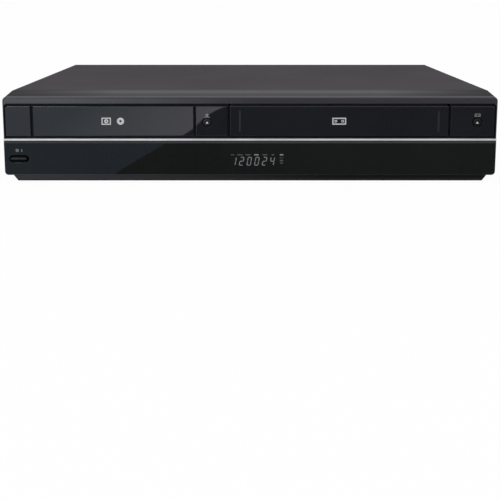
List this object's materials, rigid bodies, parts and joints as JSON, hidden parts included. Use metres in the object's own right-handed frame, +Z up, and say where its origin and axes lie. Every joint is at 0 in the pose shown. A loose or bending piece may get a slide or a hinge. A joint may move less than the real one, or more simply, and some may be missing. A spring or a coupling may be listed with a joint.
{
  "type": "disc and cassette recorder",
  "caption": "Low wide deck with a motorised disc tray, a flap-covered cassette slot, round eject keys, a power key and a display in a glossy front under a steel cover.",
  "frame": {"origin": "on the floor under the middle of the whole set", "axes": "+X to the right seen from the front, +Y to the rear, +Z up"},
  "size_m": [0.43, 0.3536, 0.0785],
  "materials": {
    "cover_paint": "dark grey textured paint on steel",
    "bezel_plastic": "dark grey satin moulded plastic",
    "plate_gloss": "black piano gloss plastic",
    "fascia_gloss": "smoked black acrylic",
    "trim_silver": "bright metallised strip",
    "key_plastic": "black moulded key",
    "inlay_grey": "grey moulded line",
    "chassis_steel": "zinc plated sheet",
    "panel_paint": "black painted sheet",
    "foot_rubber": "black rubber",
    "screw_steel": "black oxide screw",
    "board_green": "green solder mask",
    "switch_black": "black switch body",
    "display_glass": "dark display glass",
    "dark_plastic": "black moulded plastic",
    "gear_nylon": "white nylon",
    "belt_rubber": "square rubber belt",
    "motor_steel": "plated motor can",
    "deck_steel": "plated deck sheet",
    "drum_aluminium": "turned aluminium",
    "shaft_steel": "ground steel",
    "bush_brass": "sintered bush",
    "roller_rubber": "ground rubber roller",
    "head_metal": "polished head",
    "lens_glass": "coated lens",
    "tuner_tin": "tinned can",
    "jack_plastic": "black jack block"
  },
  "bodies": {
    "case": {"bottom_chassis": "chassis_steel", "top_cover": "cover_paint", "rear_panel": "panel_paint", "feet": "foot_rubber", "cover_screws": "screw_steel", "front_bezel": "bezel_plastic", "badge_plate": "plate_gloss", "disc_key_plate": "plate_gloss", "tape_key_plate": "plate_gloss", "trim_strip": "trim_silver", "lower_fascia": "fascia_gloss", "front_board": "board_green", "tact_switches": "switch_black", "display_tube": "display_glass", "display_holder": "dark_plastic", "loader_frame": "dark_plastic", "loading_belt": "belt_rubber", "loading_motor": "motor_steel", "clamp_bridge": "deck_steel", "deck_plate": "deck_steel", "deck_brackets": "deck_steel", "lower_drum": "drum_aluminium", "capstan_bearing": "bush_brass", "capstan_motor": "board_green", "erase_head": "head_metal", "audio_head": "head_metal", "tape_guides": "shaft_steel", "deck_motor": "motor_steel", "main_board": "board_green", "power_board": "board_green", "tuner_can": "tuner_tin", "jack_block": "jack_plastic", "mains_inlet": "jack_plastic"},
    "power_key": {"power_button": "key_plastic"},
    "disc_key": {"disc_eject_button": "key_plastic"},
    "tape_key": {"tape_eject_button": "key_plastic"},
    "door": {"tape_door": "plate_gloss", "door_inlays": "inlay_grey"},
    "tray": {"tray_door": "plate_gloss", "disc_tray": "dark_plastic"},
    "tray_gear": {"drive_gear": "gear_nylon"},
    "belt_gear": {"pulley_gear": "gear_nylon"},
    "belt_pulley": {"motor_pulley": "bush_brass"},
    "clamper": {"disc_clamper": "dark_plastic"},
    "traverse": {"traverse_frame": "deck_steel", "spindle_motor": "motor_steel", "pickup_rods": "shaft_steel", "sled_motor": "motor_steel"},
    "spindle": {"turntable": "dark_plastic"},
    "pickup": {"optical_pickup": "drum_aluminium", "pickup_lens": "lens_glass"},
    "sled_screw": {"lead_screw": "shaft_steel"},
    "carriage": {"cassette_carriage": "deck_steel"},
    "holder": {"cassette_holder": "deck_steel"},
    "drum": {"upper_drum": "drum_aluminium"},
    "supply_reel": {"supply_reel_table": "dark_plastic"},
    "takeup_reel": {"takeup_reel_table": "dark_plastic"},
    "capstan_rotor": {"capstan": "shaft_steel"},
    "pinch": {"pinch_arm": "deck_steel"},
    "pinch_wheel": {"pinch_roller": "roller_rubber"}
  },
  "joints": [
    {"name": "power_press", "type": "slide", "parent": "case", "child": "power_key", "axis": [0, 1, 0], "range_m": [0, 0.001], "stiffness_N_per_m": 300},
    {"name": "disc_eject_press", "type": "slide", "parent": "case", "child": "disc_key", "axis": [0, 1, 0], "range_m": [0, 0.001], "stiffness_N_per_m": 300},
    {"name": "tape_eject_press", "type": "slide", "parent": "case", "child": "tape_key", "axis": [0, 1, 0], "range_m": [0, 0.001], "stiffness_N_per_m": 300},
    {"name": "tape_door_swing", "type": "hinge", "parent": "case", "child": "door", "pos_m": [0.07765, -0.17142, 0.07035], "axis": [1, 0, 0], "range_deg": [0, 88], "stiffness_Nm_per_rad": 0.01, "springref_deg": -34.38},
    {"name": "tray_slide", "type": "slide", "parent": "case", "child": "tray", "axis": [0, -1, 0], "range_m": [0, 0.135]},
    {"name": "drive_gear_spin", "type": "hinge", "parent": "case", "child": "tray_gear", "pos_m": [-0.1609, -0.14502, 0.03885], "axis": [0, 0, 1], "range_deg": [0, 645.1]},
    {"name": "pulley_gear_spin", "type": "hinge", "parent": "case", "child": "belt_gear", "pos_m": [-0.1393, -0.14502, 0.03885], "axis": [0, 0, 1], "range_deg": [-1289.7, 0]},
    {"name": "motor_pulley_spin", "type": "hinge", "parent": "case", "child": "belt_pulley", "pos_m": [-0.0993, -0.14502, 0.03385], "axis": [0, 0, 1], "range_deg": [-2578.8, 0]},
    {"name": "clamper_spin", "type": "hinge", "parent": "case", "child": "clamper", "pos_m": [-0.1189, -0.10572, 0.05515], "axis": [0, 0, 1], "continuous": true},
    {"name": "traverse_lift", "type": "slide", "parent": "case", "child": "traverse", "axis": [0, 0, 1], "range_m": [0, 0.0091]},
    {"name": "turntable_spin", "type": "hinge", "parent": "traverse", "child": "spindle", "pos_m": [-0.1189, -0.10572, 0.04165], "axis": [0, 0, 1], "continuous": true},
    {"name": "pickup_slide", "type": "slide", "parent": "traverse", "child": "pickup", "axis": [0, 1, 0], "range_m": [0, 0.034]},
    {"name": "lead_screw_spin", "type": "hinge", "parent": "traverse", "child": "sled_screw", "pos_m": [-0.0859, -0.08772, 0.03345], "axis": [0, 1, 0], "range_deg": [0, 4080.5]},
    {"name": "carriage_slide", "type": "slide", "parent": "case", "child": "carriage", "axis": [0, 1, 0], "range_m": [0, 0.03]},
    {"name": "holder_drop", "type": "slide", "parent": "carriage", "child": "holder", "axis": [0, 0, -1], "range_m": [0, 0.01902]},
    {"name": "drum_spin", "type": "hinge", "parent": "case", "child": "drum", "pos_m": [0.07765, 0.02781, 0.0399], "axis": [0, 0, 1], "continuous": true},
    {"name": "supply_reel_spin", "type": "hinge", "parent": "case", "child": "supply_reel", "pos_m": [0.03165, -0.07419, 0.0196], "axis": [0, 0, 1], "continuous": true},
    {"name": "takeup_reel_spin", "type": "hinge", "parent": "case", "child": "takeup_reel", "pos_m": [0.12365, -0.07419, 0.0196], "axis": [0, 0, 1], "continuous": true},
    {"name": "capstan_spin", "type": "hinge", "parent": "case", "child": "capstan_rotor", "pos_m": [0.12465, -0.01818, 0.0196], "axis": [0, 0, 1], "continuous": true},
    {"name": "pinch_swing", "type": "hinge", "parent": "case", "child": "pinch", "pos_m": [0.13595, 0.00782, 0.0246], "axis": [0, 0, -1], "range_deg": [0, 30]},
    {"name": "pinch_roller_spin", "type": "hinge", "parent": "pinch", "child": "pinch_wheel", "pos_m": [0.14635, -0.0162, 0.0268], "axis": [0, 0, 1], "continuous": true}
  ],
  "couplings": [
    {"joint": "drive_gear_spin", "follows": "tray_slide", "rad_per_m": 83.333},
    {"joint": "pulley_gear_spin", "follows": "tray_slide", "rad_per_m": -166.67},
    {"joint": "motor_pulley_spin", "follows": "tray_slide", "rad_per_m": -333.33},
    {"joint": "lead_screw_spin", "follows": "pickup_slide", "rad_per_m": 2094.4},
    {"joint": "clamper_spin", "follows": "turntable_spin", "ratio": 1}
  ]
}
